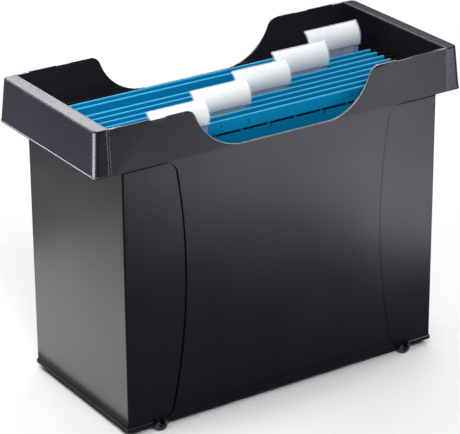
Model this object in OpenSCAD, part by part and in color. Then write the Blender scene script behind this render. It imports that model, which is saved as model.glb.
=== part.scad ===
// Portable box for hanging files: a tub with a collar, a grip on each end, four barrel feet,
// and five folded files that hang from steel bars on the two rails inside.
// Millimetres. Length runs along X, the front looks along -Y, and the feet stand on Z = 0.

/* [Tub] */
// Length of the tub between its end faces
tub_l = 339; // [330:0.1:350]
// Width of the tub over its recessed side fields
tub_w = 167.4; // [160:0.1:190]
// Height from the underside of the tub to the underside of the collar
tub_h = 252; // [240:0.1:280]
// Thickness of the tub's walls
wall = 2.2; // [1.6:0.1:2.6]
// Thickness of the tub's floor
floor_t = 2.5; // [1.5:0.1:4]
// Radius of the tub's vertical edges
edge_r = 1.6; // [1:0.1:5]
// Height of the plinth rim that stands round the underside
plinth_h = 3.6; // [2:0.1:5]
// How far the plinth rim stands out past the end faces
plinth_out = 0.8; // [0.4:0.1:1.5]
// Thickness of the plinth rim
plinth_t = 3; // [2:0.1:4]

/* [Centre panel] */
// How far the centre panel stands out past the side fields
panel_out = 1; // [0.6:0.1:1.4]
// Half width of the centre panel where it is narrowest
panel_half_w = 107; // [96:1:118]
// Radius of the panel's long curved sides
panel_side_r = 590; // [400:1:900]
// Height of the narrowest place above the underside of the tub
panel_waist_z = 145; // [120:1:170]
// Radius where the panel's sides turn into the collar
panel_top_r = 14; // [8:0.5:20]
// Radius where the panel's sides turn into the plinth
panel_foot_r = 12; // [8:0.5:20]

/* [Collar] */
// Height of the collar above its underside
collar_h = 41.8; // [38:0.1:55]
// How far the front and back of the collar lean in towards the rim
collar_lean = 2.9; // [0:0.1:3.4]
// Room between the outside of each rail and the collar's end wall
trough_w = 10.8; // [8:0.1:18]
// Thickness of the ledge between the tub and the collar's end walls
ledge_t = 2.5; // [1.5:0.1:4]
// Height of the rail above the underside of the collar
rail_h = 10.6; // [7:0.1:14]

/* [Rim] */
// Half length of the straight bottom of the dip in the front and back walls
dip_half_l = 44.2; // [30:0.1:60]
// Height of the bottom of the dip above the underside of the collar
dip_z = 0.2; // [0:0.1:12]
// Radius of the dip's hollow curve
dip_r = 52; // [40:0.5:60]
// Radius of the shoulder above that curve
shoulder_r = 12; // [6:0.5:20]

/* [Lid pockets] */
// Length at the rim of the pocket in each shoulder that takes a lid's catch
pocket_l = 15; // [8:0.5:20]
// Length of the pocket's floor
pocket_floor_l = 9; // [4:0.5:14]
// Depth of the pocket below the rim
pocket_d = 3; // [1.5:0.1:5]
// Distance of the middle of each pocket from the end face of the tub
pocket_in = 38; // [24:0.1:42]
// Thickness of the skin outside the pocket
pocket_skin = 0.9; // [0.6:0.1:1.5]
// How far that skin stands out past the collar
pocket_boss = 0.7; // [0.2:0.1:1.2]
// How far the skin's top lies below the rim
pocket_drop = 0.6; // [0:0.1:1.5]

/* [Grips] */
// Width of the top of each grip, out from the collar's end wall
grip_top_w = 11.7; // [8:0.1:16]
// How far the skirt leans out from its top to its lower edge
grip_flare = 3.4; // [0:0.1:8]
// Thickness of the grip
grip_t = 2.2; // [1.6:0.1:3]
// Radius of the grip's vertical edges
grip_r = 5; // [3:0.1:8]
// Radius of the grip's upper edge
grip_edge_r = 1.2; // [0.4:0.1:2]
// Height of the bead along the lower edge
bead_h = 2; // [1:0.1:4]
// How far that bead stands out
bead_out = 0.5; // [0.3:0.1:1.2]
// Depth of the lip that lies against the collar's end wall
lip_h = 12; // [6:0.5:24]
// How far the grip's cheeks lap over the ends of the collar
lap_l = 3; // [1:0.1:6]
// Thickness of those laps
lap_t = 1.1; // [0.6:0.1:1.4]

/* [Feet] */
// Radius of the barrel feet
foot_r = 6.6; // [5:0.1:9]
// How far the feet hold the tub above the ground
foot_drop = 5.4; // [5:0.1:7]
// Distance of the middle of each foot from the end face of the tub
foot_in = 32.5; // [15:0.1:50]
// How far each foot stands out past the centre panel
foot_out = 3.6; // [1:0.1:6]
// Length of each foot
foot_l = 13.5; // [12:0.1:18]
// Radius of the blind hole in the face of each foot
foot_bore_r = 3.2; // [2:0.1:4]
// Depth of that hole
foot_bore_l = 5; // [2:0.1:8]
// Radius of the stem that plugs into the floor
stem_r = 2.6; // [1.5:0.1:3]
// Distance of the stem from the inner end of its foot
stem_in = 0.8; // [0.4:0.1:1.5]
// Radius of the edge round the face of each foot
foot_edge_r = 1; // [0.4:0.1:2]
// Width of the flat that each foot stands on
foot_flat = 3; // [1:0.1:4]

/* [Files] */
// Length of the card leaves
card_l = 318; // [310:0.5:322]
// Height of the leaves from their bottom fold to their top edge
card_h = 245; // [200:1:248]
// Thickness of the card
card_t = 0.4; // [0.3:0.05:0.6]
// How far the tops of the two leaves lean apart
file_spread = 8.1; // [6:0.1:10]
// Distance from each file to the next
file_pitch = 21.7; // [20:0.1:23]
// Distance of the foremost file's fold from the inside of the front wall
file_front_room = 16.35; // [15:0.05:19]
// Extra room in front of the rearmost file
file_gap = 8.8; // [0:0.1:14]
// Height of the hem that wraps each bar
hem_h = 12; // [11:0.1:16]
// Radius of the bead at the bottom fold
fold_r = 0.6; // [0.5:0.05:1]

/* [Bars] */
// How far each bar reaches out past the outside of its rail
hook_reach = 4.3; // [3:0.1:7]
// Size of the cut corners of each hook
hook_chamfer = 1; // [0.4:0.1:1.4]
// Height of each bar
bar_h = 10; // [8:0.1:10.8]
// Thickness of each bar
bar_t = 1; // [0.8:0.1:1.4]
// How far the hooks reach down past the top of the rail
hook_d = 5.4; // [3:0.1:6]
// How far the underside of each bar lies below the top of the rail
hook_heel = 1.5; // [0.5:0.1:2.5]
// How far the top of each bar steps down outside the card
hook_step = 1; // [0:0.1:2]
// How far each bar stands out of its leaf's end before it steps down
hook_neck = 2; // [1:0.1:4]

/* [Tabs] */
// Length of each tab along its file
tab_l = 60; // [40:1:60]
// Radius of the tab's curved face
tab_r = 17.7; // [15:0.1:22]
// How far the face bulges in front of its leaf
tab_bulge = 6.1; // [5:0.1:7]
// Height of the face's deepest place above the top edge of the leaf
tab_mid_z = 7.4; // [5:0.1:10]
// Angle from the deepest place up to the tab's top edge
tab_up = 62; // [40:1:66]
// Angle from the deepest place down to the tab's tongue
tab_down = 23; // [15:1:25]
// Thickness of each of the sleeve's two skins
skin_t = 0.5; // [0.3:0.05:0.8]
// Thickness of the paper label
label_t = 0.3; // [0.15:0.05:0.5]
// Length of the tongue below each tab
tongue_l = 44; // [44:1:54]
// Length of each peg on that tongue
peg_l = 12; // [6:0.5:12]
// Distance of the middle of the first tab from the left end of its leaf
tab_first_in = 55; // [30:1:70]
// Distance of the middle of the last tab from the right end of its leaf
tab_last_in = 30; // [30:1:70]
// How far the label stops short of each end of its sleeve
label_short = 1; // [0.5:0.1:3]
// Length of each slot below the front hem
slot_l = 26; // [16:0.1:27]
// Height of each slot
slot_h = 1.2; // [1:0.1:1.6]
// Distance from one slot to the next
slot_pitch = 28.8; // [28:0.1:30]
// Least distance from a slot to the end of the leaf
slot_edge = 4; // [2:0.5:12]
// Distance of the slots below the top edge of the leaf
slot_z = 14; // [13:0.1:16]
// Distance of the middle slot from the middle of the leaf
slot_shift = 6; // [-6:0.1:6]

/* [Fits] */
// Gap round the feet's stems and in their notches
stem_fit = 0.1; // [0.05:0.01:0.2]
// Gap on each side of a bar in its hem
bar_fit = 0.1; // [0.05:0.01:0.2]
// Gap between a grip's laps and the collar under them
lap_fit = 0.1; // [0.05:0.01:0.2]
// Gap of the seam between a grip's laps and the collar's faces
seam_fit = 0.4; // [0.2:0.05:0.6]
// Gap between a bar and the top of the rail
seat_fit = 0.3; // [0.25:0.01:0.4]
// Gap between a hook and each side of the rail
hook_fit = 0.8; // [0.5:0.05:1.2]
// Gap round the bottom fold
fold_fit = 0.3; // [0.2:0.01:0.5]
// Gap on each side of a label in its sleeve
label_fit = 0.3; // [0.2:0.01:0.4]
// Gap round a tab's pegs in their slots
peg_fit = 0.1; // [0.05:0.01:0.2]

/* [Hidden] */

// Circles this fine stay true circles; the leaning grips take the coarser count.
$fn = 96;
loft_fn = 32;
// How far a cut runs past the face that it opens
past = 1;

// Heights, from the ground up
base_z = foot_drop;
floor_z = base_z + plinth_h;
field_z = base_z + plinth_h;
collar_z = base_z + tub_h;
rim_z = collar_z + collar_h;
rail_z = collar_z + rail_h;
// Half widths of the tub: over its fields, over its panels, and at the rim
field_y = tub_w / 2;
panel_y = field_y + panel_out;
rim_y = panel_y - collar_lean;
rail_x = tub_l / 2;
collar_in_x = rail_x + trough_w;
collar_x = collar_in_x + wall;
foot_x = rail_x - foot_in;
lap_x = collar_x - lap_l;
bar_end_x = rail_x + hook_reach;

// The files: top edge, height of the fold, and place of each file along the rails
leaf_top_z = rail_z + seat_fit + bar_h - hook_heel + card_t;
fold_z = leaf_top_z - card_h;
gutter_r = fold_r + fold_fit;
leaf_tilt = asin(file_spread / 2 / card_h);
file_n = 5;
file_y = [for (i = [0 : file_n - 1])
    wall - field_y + file_front_room + i * file_pitch + (i == file_n - 1 ? file_gap : 0)];
// Middle of each file's tab: the tabs step evenly from the first file to the last
tab_step = (card_l - tab_first_in - tab_last_in) / (file_n - 1);
tab_x = [for (i = [0 : file_n - 1]) tab_first_in - card_l / 2 + i * tab_step];
// Middles of the slots, as many as lie clear of the ends of the leaf
slot_reach = card_l / 2 - slot_edge - slot_l / 2;
slot_n = ceil(card_l / slot_pitch);
slot_x = [for (k = [-slot_n : slot_n])
    if (abs(slot_shift + k * slot_pitch) < slot_reach) slot_shift + k * slot_pitch];
// The hem: a pocket for the bar between two layers of card
pocket_t = bar_t + 2 * bar_fit;
hem_t = card_t + pocket_t;
file_blue = [0.00, 0.42, 0.68];

module slab_x(x0, x1) { translate([x0, 0, 0]) rotate([90, 0, 90]) linear_extrude(x1 - x0) children(); }
module slab_y(y0, y1) { translate([0, y1, 0]) rotate([90, 0, 0]) linear_extrude(y1 - y0) children(); }
module both_x() { children(); mirror([1, 0, 0]) children(); }
module both_y() { children(); mirror([0, 1, 0]) children(); }

// A rectangle with round corners, middle on the origin
module round_rect(l, w, r) {
    square([l - 2 * r, w], center = true);
    square([l, w - 2 * r], center = true);
    for (x = [-1, 1], y = [-1, 1]) translate([x * (l / 2 - r), y * (w / 2 - r)]) circle(r);
}

// One of the sunk fields beside the centre panel, at +X: plinth below, collar above,
// and one long arc with a tangent corner at each end of it
module side_field() {
    arc_c = [panel_half_w + panel_side_r, base_z + panel_waist_z];
    difference() {
        intersection() {
            translate(arc_c) circle(panel_side_r, $fn = 360);
            translate([0, field_z]) square([tub_l, collar_z - field_z]);
        }
        corner_waste(arc_c, collar_z - panel_top_r, panel_top_r, 1);
        corner_waste(arc_c, field_z + panel_foot_r, panel_foot_r, -1);
    }
}

// What a round corner leaves out between the long arc and a level line (up = 1 above, -1 below)
module corner_waste(arc_c, z, r, up) {
    reach = panel_side_r - r;
    c = [arc_c[0] - sqrt(reach * reach - (z - arc_c[1]) ^ 2), z];
    out = (c - arc_c) / reach;
    difference() {
        polygon([c, c + [0, up * 2 * r], c + [-3 * r, up * 2 * r], c + 3 * r * out]);
        translate(c) circle(r);
    }
}

// The dip in the front and back walls: a straight bottom, a hollow curve and a round shoulder
module dip() {
    hollow_c = [dip_half_l, collar_z + dip_z + dip_r];
    shoulder_z = rim_z - shoulder_r;
    reach = dip_r + shoulder_r;
    shoulder_x = dip_half_l + sqrt(reach * reach - (hollow_c[1] - shoulder_z) ^ 2);
    top_z = max(rim_z, hollow_c[1]) + past;
    translate([-dip_half_l, collar_z + dip_z]) square([2 * dip_half_l, collar_h + past]);
    both_x() {
        translate(hollow_c) circle(dip_r, $fn = 180);
        difference() {
            polygon([hollow_c, [shoulder_x, shoulder_z], [shoulder_x, top_z], [dip_half_l, top_z]]);
            translate([shoulder_x, shoulder_z]) circle(shoulder_r);
        }
    }
}

// Outline of a lid pocket at +X, grown sideways and down by grow, and cut off at the height top
module pocket_outline(grow, top) {
    mid_x = rail_x - pocket_in;
    slope = (pocket_l - pocket_floor_l) / 2 / pocket_d;
    floor_z = rim_z - pocket_d - grow;
    half = pocket_floor_l / 2 + grow;
    polygon([[mid_x - half, floor_z], [mid_x + half, floor_z],
        [mid_x + half + slope * (top - floor_z), top], [mid_x - half - slope * (top - floor_z), top]]);
}

// Cross-section of the collar, drawn in by inset on each side and cut off below z0
module collar_section(inset, z0, z1) {
    y0 = collar_half_w(z0) - inset;
    y1 = collar_half_w(z1) - inset;
    polygon([[-y0, z0], [y0, z0], [y1, z1], [-y1, z1]]);
}
function collar_half_w(z) = panel_y - collar_lean * (z - collar_z) / collar_h;

module box_body() {
    color([0.09, 0.09, 0.10]) difference() {
        union() {
            translate([0, 0, base_z]) linear_extrude(plinth_h)
                round_rect(tub_l + 2 * plinth_out, 2 * panel_y, edge_r);
            translate([0, 0, base_z]) linear_extrude(tub_h) round_rect(tub_l, tub_w, edge_r);
            slab_y(-panel_y, panel_y) centre_panel();
            slab_x(-collar_x, collar_x) collar_section(0, collar_z, rim_z);
            slab_y(-rim_y - pocket_boss, rim_y + pocket_boss)
                both_x() pocket_outline(pocket_skin, rim_z - pocket_drop);
        }
        tub_hollow();
        collar_hollow();
        slab_y(-panel_y - past, panel_y + past) dip();
        lid_pockets();
        lap_steps();
        underside();
    }
}

module centre_panel() {
    difference() {
        translate([-tub_l / 2 + edge_r, base_z]) square([tub_l - 2 * edge_r, tub_h]);
        both_x() side_field();
    }
}

// The room inside the tub, with the backs of the centre panels sunk by as much as they stand out
module tub_hollow() {
    hollow_z = floor_z + floor_t;
    in_l = tub_l - 2 * wall;
    translate([-in_l / 2, -field_y + wall, hollow_z])
        cube([in_l, tub_w - 2 * wall, rim_z - hollow_z + past]);
    sunk_l = 2 * (panel_half_w - wall);
    translate([-sunk_l / 2, -panel_y + wall, hollow_z])
        cube([sunk_l, 2 * (panel_y - wall), collar_z + ledge_t - hollow_z]);
}

// The room inside the collar, down to the ledges, leaving the end walls standing as rails
module collar_hollow() {
    difference() {
        slab_x(-collar_in_x, collar_in_x)
            collar_section(wall, collar_z + ledge_t, rim_z + past);
        both_x() translate([rail_x - wall, -panel_y, collar_z])
            cube([wall, 2 * panel_y, rail_z - collar_z]);
    }
}

// The four lid pockets, cut from inside, and the lower top of the skin that closes each of them
module lid_pockets() {
    back_y = rim_y + pocket_boss - pocket_skin;
    slab_y(-back_y, back_y) both_x() pocket_outline(0, rim_z + past);
    slab_y(-panel_y, panel_y) both_x()
        translate([rail_x - pocket_in - pocket_l / 2, rim_z - pocket_drop])
            square([pocket_l, pocket_drop + past]);
}

// The steps at the ends of the collar that the laps of the grips lie in
module lap_steps() {
    both_x() slab_x(lap_x, collar_x + past) difference() {
        collar_section(-past, collar_z - past, rim_z + past);
        collar_section(lap_t, collar_z - past, rim_z + past);
    }
}

// The hollow under the floor, with a notch in its rim and a hole in the floor for each foot
module underside() {
    translate([0, 0, base_z - past]) linear_extrude(plinth_h + past)
        round_rect(tub_l + 2 * plinth_out - 2 * plinth_t, 2 * (panel_y - plinth_t), edge_r);
    both_x() both_y() {
        notch_half = foot_r + stem_fit;
        translate([foot_x - notch_half, panel_y - plinth_t - past, base_z - past])
            cube([2 * notch_half, plinth_t + 2 * past, plinth_h + past]);
        translate([foot_x, stem_y, base_z]) cylinder(r = stem_r + stem_fit, h = floor_t + 2 * plinth_h);
    }
}

// Feet: a barrel that lies along Y, its axis, and its stem
foot_axis_z = sqrt(foot_r ^ 2 - (foot_flat / 2) ^ 2);
foot_face_y = panel_y + foot_out;
stem_y = foot_face_y - foot_l + stem_r + stem_in;

// The foot at +X and -Y; the other three are its mirror images
module foot() {
    color([0.03, 0.03, 0.03]) {
        intersection() {
            translate([foot_x, foot_l - foot_face_y, foot_axis_z]) rotate([90, 0, 0]) rotate_extrude()
                difference() {
                    union() {
                        square([foot_r, foot_l - foot_edge_r]);
                        square([foot_r - foot_edge_r, foot_l]);
                        translate([foot_r - foot_edge_r, foot_l - foot_edge_r]) circle(foot_edge_r);
                    }
                    translate([0, foot_l - foot_bore_l]) square([foot_bore_r, foot_bore_l + past]);
                    translate([-foot_r, 0]) square([foot_r, foot_l]);
                }
            translate([0, -foot_face_y, 0]) cube([2 * foot_x, foot_l, floor_z]);
        }
        translate([foot_x, -stem_y, floor_z]) cylinder(r = stem_r, h = floor_t);
    }
}

// Outline of a grip at height z, drawn in by inset on its three outer sides
module grip_slice(z, inset) {
    skin = 0.01;
    w = grip_top_w + grip_flare * (rim_z - z) / collar_h - inset;
    half = collar_half_w(z) - inset;
    r = max(grip_r - inset, 1);
    translate([collar_x, 0, z - (inset < 0 || z > collar_z ? skin : 0)]) linear_extrude(skin) {
        translate([0, -half]) square([w - r, 2 * half]);
        for (s = [-1, 1]) translate([w - r, s * (half - r)]) circle(r, $fn = loft_fn);
    }
}

// The grip at +X: a shell with a flared skirt, open below for the fingers
module grip() {
    color([0.13, 0.13, 0.14]) {
        difference() {
            union() {
                hull() {
                    grip_slice(collar_z, 0);
                    for (a = [0 : 30 : 90])
                        grip_slice(rim_z - grip_edge_r * (1 - sin(a)), grip_edge_r * (1 - cos(a)));
                }
                hull() {
                    grip_slice(collar_z + bead_h / 4, -bead_out);
                    grip_slice(collar_z + bead_h * 3 / 4, -bead_out);
                    grip_slice(collar_z, 0);
                    grip_slice(collar_z + bead_h, 0);
                }
            }
            hull() {
                grip_slice(collar_z - past, grip_t);
                grip_slice(rim_z - grip_t, grip_t);
            }
        }
        translate([collar_x, -rim_y + grip_t, rim_z - lip_h])
            cube([grip_t, 2 * (rim_y - grip_t), lip_h - grip_t / 2]);
        slab_x(lap_x + seam_fit, collar_x + lap_fit) difference() {
            collar_section(0, collar_z, rim_z);
            collar_section(lap_t - lap_fit, collar_z - past, rim_z + past);
        }
    }
}

// Moves a leaf from upright over the origin to its place in file i, leaning to the front or rear
module hang(i, lean) { translate([0, file_y[i], fold_z]) rotate([lean * leaf_tilt, 0, 0]) children(); }

// A hem at the top of a leaf whose outer face is at y = 0, folded round a pocket towards +Y
module hem() {
    difference() {
        translate([-card_l / 2, -card_t, card_h - hem_h]) cube([card_l, card_t + hem_t, hem_h]);
        translate([-card_l / 2 - past, 0, card_h - hem_h + card_t])
            cube([card_l + 2 * past, pocket_t, hem_h - 2 * card_t]);
    }
}

// Front leaf: a bead along the fold, the card with slots for a tab, and a hem above them
module front_leaf(i) {
    color(file_blue) hang(i, 1) {
        difference() {
            union() {
                translate([-card_l / 2, 0, 0]) rotate([0, 90, 0]) cylinder(r = fold_r, h = card_l);
                translate([-card_l / 2, -card_t / 2, 0]) cube([card_l, card_t, card_h - hem_h]);
                translate([0, -card_t / 2, 0]) mirror([0, 1, 0]) hem();
            }
            for (x = slot_x)
                translate([x - slot_l / 2, -card_t, card_h - slot_z - slot_h / 2])
                    cube([slot_l, 2 * card_t, slot_h]);
        }
    }
}
// Outer face of the front hem, in the leaf's own frame
hem_face_y = -card_t / 2 - hem_t;

// Rear leaf: it carries the fold's gutter, and its hem faces the rear
module rear_leaf(i) {
    color(file_blue) hang(i, -1) {
        difference() {
            slab_x(-card_l / 2, card_l / 2) difference() {
                circle(gutter_r + card_t);
                circle(gutter_r);
            }
            translate([-card_l, -card_l, 0]) cube(2 * card_l);
        }
        translate([-card_l / 2, gutter_r, 0]) cube([card_l, card_t, card_h - hem_h]);
        translate([0, gutter_r + card_t, 0]) hem();
    }
}

// A hanging bar: one half from the middle of its underside, over the seat and round the hook
// to the middle of its top, then the same backwards on the other side
module bar_outline() {
    top = card_h - card_t;
    seat = top - bar_h + hook_heel;
    in_x = rail_x - wall - hook_fit;
    out_x = rail_x + hook_fit;
    cut = hook_chamfer;
    half = [[in_x, top - bar_h], [in_x, seat], [out_x, seat], [out_x, seat - hook_d],
        [bar_end_x - cut, seat - hook_d], [bar_end_x, seat - hook_d + cut],
        [bar_end_x, top - hook_step - cut], [bar_end_x - cut, top - hook_step],
        [card_l / 2 + hook_neck, top - hook_step], [card_l / 2 + hook_neck - hook_step, top]];
    polygon(concat(half, [for (i = [len(half) - 1 : -1 : 0]) [-half[i][0], half[i][1]]]));
}

module bar(i, lean, y) {
    color([0.05, 0.05, 0.05]) hang(i, lean) slab_y(y, y + bar_t) bar_outline();
}
module front_bar(i) bar(i, 1, -card_t / 2 - bar_fit - bar_t);
module rear_bar(i) bar(i, -1, gutter_r + card_t + bar_fit);

// Part of a ring, from angle a0 to a1, where 0 looks along -Y and angles grow upwards
module ring_part(r_out, r_in, a0, a1) {
    intersection() {
        difference() {
            circle(r_out);
            circle(r_in);
        }
        polygon([[0, 0], for (a = [a0, (a0 + a1) / 2, a1]) 2 * r_out * [-cos(a), sin(a)]]);
    }
}

// The tab's sleeve, from its face inwards: skin, room for the label, skin
room_r = tab_r - skin_t;
back_r = room_r - label_t - 2 * label_fit;
end_a = 2;
label_a = end_a + label_fit / tab_r * 180 / PI;
tab_c = [tab_r - tab_bulge, card_h + tab_mid_z];

// Tab: a clear curved sleeve that is open at both ends, on a tongue pegged in below the hem
module tab(i) {
    foot_z = card_h - slot_z - slot_h;
    root_a = tab_down - end_a / 2;
    color([0.9, 0.93, 0.95]) hang(i, 1) {
        slab_x(tab_x[i] - tab_l / 2, tab_x[i] + tab_l / 2) translate(tab_c) difference() {
            ring_part(tab_r, back_r - skin_t, -tab_down, tab_up);
            ring_part(room_r, back_r, end_a - tab_down, tab_up - end_a);
        }
        slab_x(tab_x[i] - tongue_l / 2, tab_x[i] + tongue_l / 2)
            polygon([tab_c + tab_r * [-cos(root_a), -sin(root_a)],
                tab_c + (back_r - skin_t) * [-cos(root_a), -sin(root_a)],
                [hem_face_y, card_h - card_t], [hem_face_y, foot_z], [hem_face_y - skin_t, foot_z]]);
        for (x = slot_x)
            if (abs(x - tab_x[i]) < (tongue_l - peg_l) / 2)
                translate([x - peg_l / 2, hem_face_y - skin_t / 2,
                    card_h - slot_z - slot_h / 2 + peg_fit])
                    cube([peg_l, skin_t / 2 + card_t - hem_face_y, slot_h - 2 * peg_fit]);
    }
}

// The paper label inside the sleeve
module label(i) {
    color("white") hang(i, 1)
        slab_x(tab_x[i] - tab_l / 2 + label_short, tab_x[i] + tab_l / 2 - label_short)
            translate(tab_c) ring_part(room_r - label_fit, room_r - label_fit - label_t,
                label_a - tab_down, tab_up - label_a);
}

box_body();
mirror([1, 0, 0]) grip();  // grip_left
grip();  // grip_right
mirror([1, 0, 0]) foot();  // foot_front_left
foot();  // foot_front_right
mirror([1, 0, 0]) mirror([0, 1, 0]) foot();  // foot_rear_left
mirror([0, 1, 0]) foot();  // foot_rear_right
for (i = [0 : file_n - 1]) {
    name = str("file_", i + 1);
    front_leaf(i);
    rear_leaf(i);
    front_bar(i);
    rear_bar(i);
    tab(i);
    label(i);
}
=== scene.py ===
"""Portable box for hanging files: a black moulded tub with a grip on each end, four barrel feet,
and five blue card files that hang from steel bars, each with a labelled tab."""
import math

import bmesh
import bpy
from mathutils import Matrix, Vector


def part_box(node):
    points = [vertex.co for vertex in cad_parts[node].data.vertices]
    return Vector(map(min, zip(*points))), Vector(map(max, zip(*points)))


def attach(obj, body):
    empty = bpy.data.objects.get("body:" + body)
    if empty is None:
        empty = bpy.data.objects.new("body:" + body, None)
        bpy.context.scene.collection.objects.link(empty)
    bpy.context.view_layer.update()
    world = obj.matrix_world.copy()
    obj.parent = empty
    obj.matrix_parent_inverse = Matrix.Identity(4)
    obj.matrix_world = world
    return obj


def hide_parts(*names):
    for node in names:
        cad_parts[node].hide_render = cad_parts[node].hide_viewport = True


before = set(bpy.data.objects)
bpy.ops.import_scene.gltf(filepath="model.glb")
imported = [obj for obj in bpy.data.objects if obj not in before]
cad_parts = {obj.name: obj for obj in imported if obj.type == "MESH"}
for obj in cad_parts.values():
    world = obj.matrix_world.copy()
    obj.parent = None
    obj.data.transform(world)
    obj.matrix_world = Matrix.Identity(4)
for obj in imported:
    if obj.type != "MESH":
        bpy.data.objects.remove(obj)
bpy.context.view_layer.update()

# ---- The studio --------------------------------------------------------------------------------
# A pale table, seen from the front left and from a little above. Five soft boxes light all of it.
# Black plastic shows little but its gloss, so eleven more lamps, which reach only black pieces, are
# there to mirror in them: boxes round the tub, and flat panels just above the table.

camera_turn = math.radians(-33.083)
camera_lift = math.radians(23.129)
camera_roll = math.radians(-0.445)
camera_place = Vector((-1.1161, -1.6973, 1.0361))
lens_mm = 185.58
film_mm = 36
picture_shift = (0.0111, -0.0512)
nearest, farthest = 0.05, 50

toward_camera = Vector((math.sin(camera_turn) * math.cos(camera_lift),
                        -math.cos(camera_turn) * math.cos(camera_lift),
                        math.sin(camera_lift)))
level_right = Vector((math.cos(camera_turn), math.sin(camera_turn), 0))
level_up = toward_camera.cross(level_right)
right = level_right * math.cos(camera_roll) + level_up * math.sin(camera_roll)
up = level_up * math.cos(camera_roll) - level_right * math.sin(camera_roll)

camera_data = bpy.data.cameras.new("camera")
camera_data.sensor_width = film_mm
camera_data.lens = lens_mm
camera_data.shift_x, camera_data.shift_y = picture_shift
camera_data.clip_start, camera_data.clip_end = nearest, farthest
camera = bpy.data.objects.new("camera", camera_data)
bpy.context.collection.objects.link(camera)
camera.matrix_world = (Matrix.Translation(camera_place)
                       @ Matrix((right, up, toward_camera)).transposed().to_4x4())
bpy.context.scene.camera = camera
bpy.context.scene.view_settings.view_transform = "Standard"

# What the lamps for the gloss reach. Each piece joins its collections in its own section.
black_pieces = bpy.data.collections.new("black_pieces")
tub_alone = bpy.data.collections.new("tub_alone")
grips_alone = bpy.data.collections.new("grips_alone")

middle = (0, 0, 0.18)
left_table = (-0.28, 0.05, 0)
files_top = (0, 0.07, 0.28)
left_bead = (-0.19, 0, 0.26)
left_corner = (-0.2, -0.08, 0.28)
left_top = (-0.19, 0, 0.3)
front_rim = (0, -0.08, 0.28)
right_collar = (0.14, -0.08, 0.28)


def soft_box(name, place, width, height, watts, aim=middle, receivers=None):
    """A rectangular lamp at place that faces aim. One with receivers lights only those pieces."""
    lamp = bpy.data.lights.new(name, "AREA")
    lamp.shape = "RECTANGLE"
    lamp.size, lamp.size_y = width, height
    lamp.energy = watts
    rig = bpy.data.objects.new(name, lamp)
    rig.location = place
    rig.rotation_euler = (Vector(place) - Vector(aim)).to_track_quat("Z", "Y").to_euler()
    rig.visible_camera = False
    bpy.context.collection.objects.link(rig)
    if receivers:
        rig.light_linking.receiver_collection = receivers


soft_box("rear_box", (0.0, 1.53, 1.31), 1.0, 0.8, 13)
soft_box("rear_right_box", (1.08, 1.08, 1.31), 1.0, 0.8, 9)
soft_box("overhead_strip", (0.80, 0.07, 1.65), 0.3, 1.6, 11, files_top)
soft_box("front_box", (-0.5, -1.6, 1.7), 1.0, 0.8, 29)
soft_box("left_box", (-0.42, -0.05, 0.6), 0.3, 0.3, 2, left_table)
soft_box("bead_box", (-0.79, 0.77, 0.55), 0.3, 0.4, 9, left_bead, grips_alone)
soft_box("corner_box", (-0.69, -0.13, 0.15), 0.55, 0.2, 24, left_corner, grips_alone)
soft_box("rim_box", (0.62, 1.46, 1.05), 0.5, 0.5, 8, left_top, black_pieces)
soft_box("edge_box", (0.80, -0.45, 1.55), 0.4, 0.8, 18, front_rim, black_pieces)
soft_box("collar_box", (0.74, -0.93, 0.13), 0.3, 0.22, 4.4, right_collar, black_pieces)

# The flat panels face up. The front ones mirror in the front of the tub, the others in its end.
panel_z = 0.012
for name, x, y, width, depth, watts, reached in (
        ("front_far", 0.46, -0.66, 0.36, 0.38, 6.4, black_pieces),
        ("front_middle", 0.37, -0.42, 0.22, 0.20, 2.2, tub_alone),
        ("front_near", 0.31, -0.30, 0.12, 0.12, 0.75, tub_alone),
        ("front_left", 0.19, -0.58, 0.16, 0.28, 2.4, tub_alone),
        ("end_near", -0.255, 0.11, 0.16, 0.40, 0.75, tub_alone),
        ("end_far", -0.38, 0.30, 0.10, 0.45, 0.25, tub_alone)):
    soft_box(name, (x, y, panel_z), width, depth, watts, (x, y, 1), reached)


class Value:
    """One output of a shader node. Arithmetic on it adds Math nodes."""

    def __init__(self, tree, socket):
        self.tree, self.socket = tree, socket

    def math(self, operation, *others, clamp=False):
        """Adds one Math node that works on the value and others."""
        node = self.tree.nodes.new("ShaderNodeMath")
        node.operation, node.use_clamp = operation, clamp
        for slot, item in zip(node.inputs, (self, *others)):
            plug(self.tree, slot, item)
        return Value(self.tree, node.outputs[0])

    def __add__(self, other):
        return self.math("ADD", other)

    def __mul__(self, other):
        return self.math("MULTIPLY", other)

    def __sub__(self, other):
        return self.math("SUBTRACT", other)

    def __rsub__(self, other):
        return (self * -1) + other

    def __gt__(self, other):
        return self.math("GREATER_THAN", other)

    def __lt__(self, other):
        return self.math("LESS_THAN", other)

    __radd__ = __add__
    __rmul__ = __mul__

    def held(self):
        """The value, held between 0 and 1."""
        return self.math("ADD", 0, clamp=True)


def plug(tree, slot, item):
    """Puts a number, a colour or another node's output into a socket."""
    if isinstance(item, Value):
        tree.links.new(item.socket, slot)
    elif isinstance(item, (tuple, list)) and slot.type == "RGBA":
        slot.default_value = (*item, 1)[:4]
    else:
        slot.default_value = item


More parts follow.
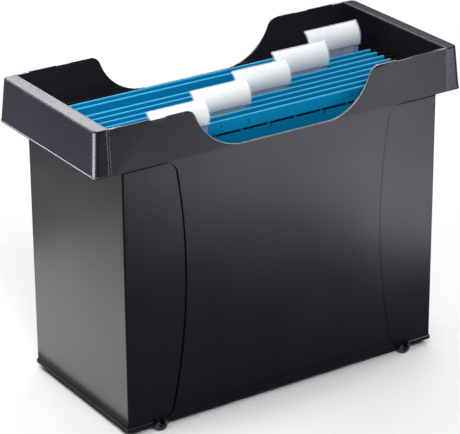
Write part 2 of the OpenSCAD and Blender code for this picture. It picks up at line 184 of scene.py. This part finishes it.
class Finish:
    """A material with one Principled shader, and the nodes that vary it."""

    def __init__(self, name, **constants):
        self.material = bpy.data.materials.new(name)
        self.material.use_nodes = True
        self.tree = self.material.node_tree
        self.shader = self.tree.nodes["Principled BSDF"]
        self.place = self.node("TexCoord", out="Object")
        for socket, item in constants.items():
            self.feed(socket, item)

    def node(self, kind, out=0, settings=None, **inputs):
        """Adds one node: its settings first, then what goes into its sockets. A socket is named,
        or numbered as _0."""
        node = self.tree.nodes.new("ShaderNode" + kind)
        for key, item in (settings or {}).items():
            setattr(node, key, item)
        for key, item in inputs.items():
            found = node.inputs[int(key[1:])] if key[0] == "_" else node.inputs[key.replace("_", " ")]
            plug(self.tree, found, item)
        return Value(self.tree, node.outputs[out])

    def noise(self, scale, detail=2.0, roughness=0.5):
        """Soft noise with scale waves to the metre."""
        return self.node("TexNoise", Vector=self.place, Scale=scale, Detail=detail, Roughness=roughness)

    def between(self, low, high, at):
        """A value that runs from low to high as at runs from 0 to 1."""
        return at * (high - low) + low

    def blend(self, first, second, at):
        """A colour that runs from first to second as at runs from 0 to 1."""
        return self.node("Mix", out=2, settings={"data_type": "RGBA"}, _0=at, _6=first, _7=second)

    def bump(self, height, depth):
        """A normal for relief that is depth metres deep where height runs from 0 to 1."""
        return self.node("Bump", Height=height, Distance=depth)

    def feed(self, socket, item):
        """Puts a number, a colour or a value into a socket of the shader."""
        plug(self.tree, self.shader.inputs[socket.replace("_", " ")], item)


table_finish = Finish("table", Roughness=0.9, Specular_IOR_Level=0.0)
table_finish.feed("Base_Color", table_finish.blend((0.94, 0.94, 0.94), (0.91, 0.91, 0.91),
                                                   table_finish.noise(2.5)))
half_table = 6.0
table_mesh = bpy.data.meshes.new("table")
table_mesh.from_pydata([(-half_table, -half_table, 0), (half_table, -half_table, 0),
                        (half_table, half_table, 0), (-half_table, half_table, 0)], [], [(0, 1, 2, 3)])
table_mesh.materials.append(table_finish.material)
table = bpy.data.objects.new("table", table_mesh)
bpy.context.collection.objects.link(table)

room_light = 0.07
world = bpy.data.worlds.new("room")
bpy.context.scene.world = world
world.use_nodes = True
world.node_tree.nodes["Background"].inputs["Color"].default_value = (1, 1, 1, 1)
world.node_tree.nodes["Background"].inputs["Strength"].default_value = room_light

# ---- The tub -----------------------------------------------------------------------------------
# Injection-moulded black plastic with a fine eroded grain. The mould eases every edge a little and
# the outside of the rim by most of the wall. Most eased edges are painted a little lighter and the
# rim light grey, painted highlights, so that the rim draws a light line all round. Beside the waisted
# centre panels the walls are sunk by a millimetre; the border of that step and a strip under the
# collar are painted near black, a painted shade. The inside is painted lighter, as painted light.

collar_z, rim_z = 0.2574, 0.2992
collar_end_x = 0.1795
collar_y, rim_y = 0.080, 0.078
dip_end_x = 0.12
pocket_x = (0.1220, 0.1410)
pocket_deep = 0.0045
field_y, panel_y = 0.0837, 0.0847
waist_x, panel_end_x = 0.09, 0.130
plinth_z = 0.0095
rim_round, panel_round, edge_round, pocket_round = 0.0011, 0.0009, 0.0004, 0.00015
rim_share, round_steps, same_spot = 0.7, 3, 1e-6
ease_low, ease_high, ease_long = 0.010, 0.254, 0.008
seam_shade_high = 0.0015
close, collar_gap = 0.0001, 0.0005
grain_drift, grain_share = 0.07, 1.3
cool_gloss = (0.84, 0.85, 1.0)

# Shares of a face's normal along an axis, from square to it down to barely tilted towards it.
flat_on, square_on, facing, across, rising, tilted = 0.995, 0.9, 0.8, 0.3, 0.2, 0.02

plain, eased, shaded, rim_highlight, inner = range(5)


def in_field(face):
    """Whether a face is part of a sunk field, beside a centre panel."""
    return all(abs(abs(vert.co.y) - field_y) < close for vert in face.verts)


def shade_seam(shape):
    """Cuts a narrow strip off the top of each field and gives it the painted shade under the collar."""
    fields = [face for face in shape.faces if in_field(face)]
    parts = dict.fromkeys(part for face in fields for part in (face, *face.edges, *face.verts))
    bmesh.ops.bisect_plane(shape, geom=list(parts), plane_co=(0, 0, collar_z - seam_shade_high),
                           plane_no=(0, 0, 1))
    for face in shape.faces:
        if in_field(face) and face.calc_center_median().z > collar_z - seam_shade_high:
            face.material_index = shaded


def rounded_copy(node, width_of, widest, finishes, sharp=30, prepare=None):
    """A copy of a CAD node for use in its place. width_of(edge, normals) says how far each edge
    that turns by more than sharp degrees is rounded, up to widest. A second finish goes on the
    rounded edges."""
    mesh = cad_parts[node].data.copy()
    mesh.name = node + "_dressed"
    mesh.materials.clear()
    shape = bmesh.new()
    shape.from_mesh(mesh)
    bmesh.ops.remove_doubles(shape, verts=shape.verts, dist=same_spot)
    if prepare:
        prepare(shape)
    weight = shape.edges.layers.float.new("bevel_weight_edge")
    for face in shape.faces:
        face.smooth = True
    for edge in shape.edges:
        mid = (edge.verts[0].co + edge.verts[1].co) / 2
        normals = [face.normal for face in edge.link_faces]
        if edge.calc_face_angle(0) > math.radians(sharp):
            edge.smooth = False
            edge[weight] = width_of(mid, normals) / widest if edge.is_convex else 0
        elif abs(mid.z - collar_z) < close and all(abs(n.y) > square_on for n in normals):
            edge.smooth = False
    shape.to_mesh(mesh)
    shape.free()
    for finish in finishes:
        mesh.materials.append(finish.material)
    piece = bpy.data.objects.new(node + "_dressed", mesh)
    bpy.context.collection.objects.link(piece)
    bevel = piece.modifiers.new("edges", "BEVEL")
    bevel.width, bevel.segments = widest, round_steps
    bevel.limit_method, bevel.use_clamp_overlap = "WEIGHT", False
    bevel.material = eased if len(finishes) > 1 else -1
    piece.modifiers.new("flat_faces", "WEIGHTED_NORMAL").keep_sharp = True
    made = bpy.data.meshes.new_from_object(piece.evaluated_get(bpy.context.evaluated_depsgraph_get()))
    piece.modifiers.clear()
    piece.data = made
    made.name = node + "_dressed"
    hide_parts(node)
    return piece


def tub_width(mid, normals):
    """How far an edge of the tub or a grip is rounded."""
    outward = max(n.y * math.copysign(1, mid.y) for n in normals)
    open_top = any(n.z > tilted and abs(n.y) < across for n in normals)
    if pocket_x[0] < abs(mid.x) < pocket_x[1] and mid.z > rim_z - pocket_deep:
        return pocket_round
    if mid.z > collar_z + close and outward > facing and open_top:
        on_collar = abs(mid.x) < collar_end_x
        return min(rim_round, rim_share * (mid.z - collar_z)) if on_collar else rim_round / 2
    if abs(mid.z - collar_z) < collar_gap and abs(mid.y) > collar_y:
        return 0
    if on_panel_edge(mid):
        ease = min(1, max(0, min(ease_high - mid.z, mid.z - ease_low) / ease_long))
        return edge_round + (panel_round - edge_round) * ease
    return edge_round


def on_rim(place, normal):
    """Whether a place is on the narrow top of the collar or its rounding."""
    level = place.z > rim_z - rim_round and normal.z > rising
    in_dip = (place.z > collar_z and abs(place.x) < dip_end_x
              and abs(normal.y) < square_on and abs(normal.z) > tilted)
    return abs(place.y) > rim_y and (level or in_dip)


def on_panel_edge(place):
    """Whether a place is on the border of a centre panel."""
    return (field_y + close < abs(place.y) < panel_y + close
            and waist_x < abs(place.x) < panel_end_x
            and plinth_z < place.z < collar_z - collar_gap)


def plastic(name, dark, light, rough, grain_scale, grain_deep, specular):
    """Grained plastic: the colour drifts from dark to light, and fine grain breaks the gloss."""
    finish = Finish(name, Specular_IOR_Level=specular, Specular_Tint=cool_gloss)
    grain = finish.noise(grain_scale, 3, 0.7)
    spots = (grain - 0.5) * grain_share + finish.noise(14, 4, 0.6)
    finish.feed("Base_Color", finish.blend(dark, light, spots.held()))
    finish.feed("Roughness", finish.between(rough - grain_drift, rough + grain_drift, spots.held()))
    finish.feed("Normal", finish.bump(grain, grain_deep))
    return finish


tub_finish = plastic("tub_plastic", (0.0014, 0.0014, 0.0024), (0.0042, 0.0041, 0.0062),
                     rough=0.31, grain_scale=650, grain_deep=0.00004, specular=0.08)
# Painted highlight: the rounded edges are painted lighter than the tub.
edge_highlight_finish = plastic("edge_painted_highlight", (0.010, 0.010, 0.011), (0.028, 0.027, 0.027),
                      rough=0.26, grain_scale=650, grain_deep=0.00001, specular=0.5)
# Painted highlight: the rim is painted light grey, for the light line round the top.
rim_highlight_finish = plastic("rim_painted_highlight", (0.09, 0.086, 0.082), (0.24, 0.225, 0.21),
                     rough=0.26, grain_scale=300, grain_deep=0.00001, specular=0.5)
# Painted shade, near black and without gloss, for the panel borders and the strip under the collar.
shade_finish = plastic("panel_border_painted_shade", (0.0010, 0.0010, 0.0012), (0.0016, 0.0016, 0.0020),
                       rough=0.6, grain_scale=650, grain_deep=0.00004, specular=0.0)
# Painted light: the inside is the same plastic painted lighter than the outside.
inside_painted_light_finish = plastic("tub_inside_painted_light", (0.008, 0.0078, 0.010), (0.014, 0.0136, 0.017),
                       rough=0.5, grain_scale=650, grain_deep=0.00004, specular=0.12)

tub = rounded_copy("box_body", tub_width, rim_round,
                   (tub_finish, edge_highlight_finish, shade_finish, rim_highlight_finish, inside_painted_light_finish), prepare=shade_seam)
for face in tub.data.polygons:
    # The top of the collar and its rounding take the painted highlight of the rim.
    if on_rim(face.center, face.normal):
        face.material_index = rim_highlight
    elif face.material_index == eased and (abs(face.normal.y) > flat_on or abs(face.center.x) < waist_x):
        face.material_index = plain
    # The rounded border of each centre panel takes the painted shade.
    elif face.material_index == eased and on_panel_edge(face.center):
        face.material_index = shaded
    # Faces that look into the tub take the inside finish, painted lighter as painted light.
    elif face.normal.xy.dot(face.center.xy) < 0:
        face.material_index = inner
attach(tub, "root")
black_pieces.objects.link(tub)
tub_alone.objects.link(tub)

# ---- The grips ---------------------------------------------------------------------------------
# The same plastic with a slightly coarser grain, moulded as a cap that closes each end of the
# collar. The skirt flares out over the fingers and ends in a small bead.

grip_round = 0.0008
grip_finish = plastic("grip_plastic", (0.0005, 0.0005, 0.0014), (0.0034, 0.0033, 0.0056),
                      rough=0.28, grain_scale=600, grain_deep=0.00004, specular=0.12)
for side in ("left", "right"):
    # The rounded edges of the grips take the painted highlight of the edges.
    grip = rounded_copy("grip_" + side, tub_width, grip_round, (grip_finish, edge_highlight_finish), sharp=40)
    black_pieces.objects.link(grip)
    grips_alone.objects.link(grip)
    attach(grip, "root")

# ---- The feet ----------------------------------------------------------------------------------
# Glossy black barrels of the same plastic, each on a stem that plugs into the floor, with a blind
# hole in the face.

foot_finish = plastic("foot_plastic", (0.003, 0.003, 0.003), (0.005, 0.005, 0.005),
                      rough=0.12, grain_scale=900, grain_deep=0.00001, specular=0.6)


def dress(node, finish):
    """Puts a finish on a CAD node."""
    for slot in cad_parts[node].material_slots:
        slot.material = finish.material


for corner in ("front_left", "front_right", "rear_left", "rear_right"):
    dress("foot_" + corner, foot_finish)
    black_pieces.objects.link(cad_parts["foot_" + corner])

# ---- The cards ---------------------------------------------------------------------------------
# Each file is a sheet of dyed blue card of about 230 g, folded over its bar at both ends. The fold
# rounds the top of each hem, and that top is painted paler, a painted highlight. Fibres give it a
# soft mottle. The slots and the card behind them have bands of painted shade.

hem_round = 0.0007
hem_low_z = 0.27
hem_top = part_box("file_1_front_leaf")[1][2]
slot_z, slot_high, slot_long, slot_pitch, slot_first = 0.2632, 0.0019, 0.026, 0.0288, 0.006
slot_shade_high = 0.007
deep_blue, pale_blue = (0.0, 0.195, 0.425), (0.0, 0.250, 0.515)
slot_painted_shade, fold_painted_highlight = (0.0, 0.003, 0.006), (0.06, 0.40, 0.62)


def hem_width(mid, normals):
    """Only the two long edges on top of a hem are rounded."""
    on_top = mid.z > hem_low_z and any(n.z > square_on for n in normals)
    return hem_round if on_top and any(abs(n.y) > square_on for n in normals) else 0


def card(name, slotted):
    """Mottled blue card. The front leaves have a row of slots with painted shade round each, and the
    rear ones a band of painted shade where the slots before them look through. The top of the fold
    is painted paler, a painted highlight."""
    finish = Finish(name, Specular_IOR_Level=0.06)
    fibre = finish.noise(260, 4, 0.65)
    mottle = finish.noise(24, 5, 0.6) * 0.6 + fibre * 0.4
    blue = finish.blend(deep_blue, pale_blue, mottle)
    x, z = (finish.node("SeparateXYZ", out=axis, Vector=finish.place) for axis in (0, 2))
    along = (x - (slot_first + slot_pitch / 2)).math("PINGPONG", slot_pitch / 2)
    low, high = slot_z - slot_shade_high, slot_z
    if slotted:
        low, high = slot_z - slot_high / 2, slot_z + slot_high / 2
    # Painted shade: dark bands at the slots of the front leaves, and below the slots on the rear leaves.
    slot_shade_mask = (along > (slot_pitch - slot_long) / 2) * (z > low) * (z < high)
    blue = finish.blend(blue, slot_painted_shade, slot_shade_mask)
    # Painted highlight: the top of the fold is painted paler.
    fold_highlight = (z > hem_top - hem_round) * finish.between(0.5, 1, fibre)
    blue = finish.blend(blue, fold_painted_highlight, fold_highlight)
    finish.feed("Base_Color", blue)
    finish.feed("Roughness", finish.between(0.5, 0.68, fibre))
    finish.feed("Normal", finish.bump(fibre, 0.00004))
    return finish


file_numbers = range(1, 6)
halves = {"front": card("card_slotted", True), "rear": card("card", False)}
for number in file_numbers:
    for half, finish in halves.items():
        leaf = rounded_copy(f"file_{number}_{half}_leaf", hem_width, hem_round, (finish,))
        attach(leaf, f"file_{number}_{half}_half")

# ---- The printed marks -------------------------------------------------------------------------
# Small figures printed in dark ink on the first card, to number the places of the tab. Some are on
# the hem, above the slots, and some on the card below them, which lies a little further back.

print_finish = Finish("print", Roughness=0.6, Specular_IOR_Level=0.05)
print_finish.feed("Base_Color", print_finish.blend((0.004, 0.01, 0.02), (0.008, 0.02, 0.04),
                                                   print_finish.noise(900, 2)))
figure_high, size_per_high, type_spread = 0.0034, 1.4, 0.00015
on_hem_z, on_card_z = 0.2695, 0.2590
hem_half, hem_proud, ink_thick = 0.0018, 0.0016, 0.00003
fold_y, fold_z = -0.06515, 0.0322
lean_out, card_deep = 0.00405, 0.245
card_lean = math.asin(lean_out / card_deep)
for text, x, z in (("1", -0.0595, on_hem_z), ("2", -0.0310, on_hem_z), ("3", -0.0060, on_card_z),
                   ("4", 0.0528, on_card_z), ("5", 0.0825, on_hem_z)):
    letter = bpy.data.curves.new("figure_" + text, "FONT")
    letter.body, letter.align_x = text, "CENTER"
    letter.size, letter.offset = figure_high * size_per_high, type_spread
    maker = bpy.data.objects.new("figure_" + text, letter)
    shape = bpy.data.meshes.new_from_object(maker)
    bpy.data.objects.remove(maker)
    set_back = hem_proud if z == on_card_z else 0
    face_y = fold_y - math.sin(card_lean) * (z - fold_z) - hem_half - ink_thick + set_back
    shape.transform(Matrix.Translation((x, face_y, z))
                    @ Matrix.Rotation(math.radians(90) + card_lean, 4, "X"))
    shape.materials.clear()
    shape.materials.append(print_finish.material)
    figure = bpy.data.objects.new("figure_" + text, shape)
    bpy.context.collection.objects.link(figure)
    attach(figure, "file_1_front_half")

# ---- The bars ----------------------------------------------------------------------------------
# Steel strip with a black baked lacquer, stamped with a hook at each end and slid into the hem. The
# lacquer is a little worn.

bar_finish = Finish("bar_lacquer", Specular_IOR_Level=0.4)
wear = bar_finish.noise(180, 5, 0.7)
bar_finish.feed("Base_Color", bar_finish.blend((0.004, 0.004, 0.0045), (0.012, 0.012, 0.012), wear))
bar_finish.feed("Roughness", bar_finish.between(0.25, 0.42, wear))
for number in file_numbers:
    for half in ("front", "rear"):
        dress(f"file_{number}_{half}_bar", bar_finish)

# ---- The tabs ----------------------------------------------------------------------------------
# A clear extruded sleeve, glossy, and so thin that the label behind it stays white. Its tongue is
# pegged into the slots of the card.

tab_finish = Finish("tab_plastic", Specular_IOR_Level=0.6)
smear = tab_finish.noise(120, 3)
tab_finish.feed("Base_Color", tab_finish.blend((0.82, 0.87, 0.98), (0.92, 0.95, 1.0), smear))
tab_finish.feed("Roughness", tab_finish.between(0.05, 0.14, smear))
tab_finish.feed("Alpha", tab_finish.between(0.10, 0.8, tab_finish.node("LayerWeight", out=1, Blend=0.25)))

# The tab's foot lies on the hem, over the whole length of the sleeve, and is a little frosted. Its
# rows run from the sleeve down the front of the hem: y from the middle of the hem, and z. It is made
# as a closed skin whose two sides lie on each other, so it has no thickness.
foot_sheet = Finish("tab_foot", Specular_IOR_Level=0.5, Roughness=0.25)
frost = foot_sheet.noise(150, 4)
foot_sheet.feed("Base_Color", foot_sheet.blend((0.62, 0.68, 0.88), (0.8, 0.84, 0.97), frost))
foot_sheet.feed("Alpha", foot_sheet.between(0.26, 0.45, frost))
sheet_rows = ((-0.0045, 0.2774), (-0.0032, 0.2769), (-0.0022, 0.2764), (-0.0021, 0.2700))
one_side = 2 * len(sheet_rows)
sheet_border = (*range(0, one_side, 2), *range(one_side - 1, 0, -2))
front_side = [(i, i + 2, i + 3, i + 1) for i in range(0, one_side - 2, 2)]
back_side = [(a + one_side, d + one_side, c + one_side, b + one_side) for a, b, c, d in front_side]
rim_faces = [(i, i + one_side, k + one_side, k)
             for i, k in zip(sheet_border, sheet_border[1:] + sheet_border[:1])]
for number in file_numbers:
    dress(f"file_{number}_tab", tab_finish)
    tab_low, tab_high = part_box(f"file_{number}_tab")
    hem_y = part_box(f"file_{number}_front_leaf")[0][1] + hem_half
    corners = [(x, hem_y + y, z) for y, z in sheet_rows for x in (tab_low[0], tab_high[0])]
    mesh = bpy.data.meshes.new(f"tab_foot_{number}")
    mesh.from_pydata(corners * 2, [], front_side + back_side + rim_faces)
    mesh.materials.append(foot_sheet.material)
    foot = bpy.data.objects.new(f"tab_foot_{number}", mesh)
    bpy.context.collection.objects.link(foot)
    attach(foot, f"file_{number}_front_half")

# ---- The labels --------------------------------------------------------------------------------
# Plain white paper, cut to the length of the sleeve and slid in from its end. Nothing is written
# on it.

label_finish = Finish("label_paper", Specular_IOR_Level=0.3)
pulp = label_finish.noise(700, 4, 0.6)
label_finish.feed("Base_Color", label_finish.blend((0.91, 0.91, 0.87), (0.96, 0.96, 0.92), pulp))
label_finish.feed("Roughness", label_finish.between(0.6, 0.8, pulp))
for number in file_numbers:
    dress(f"file_{number}_label", label_finish)
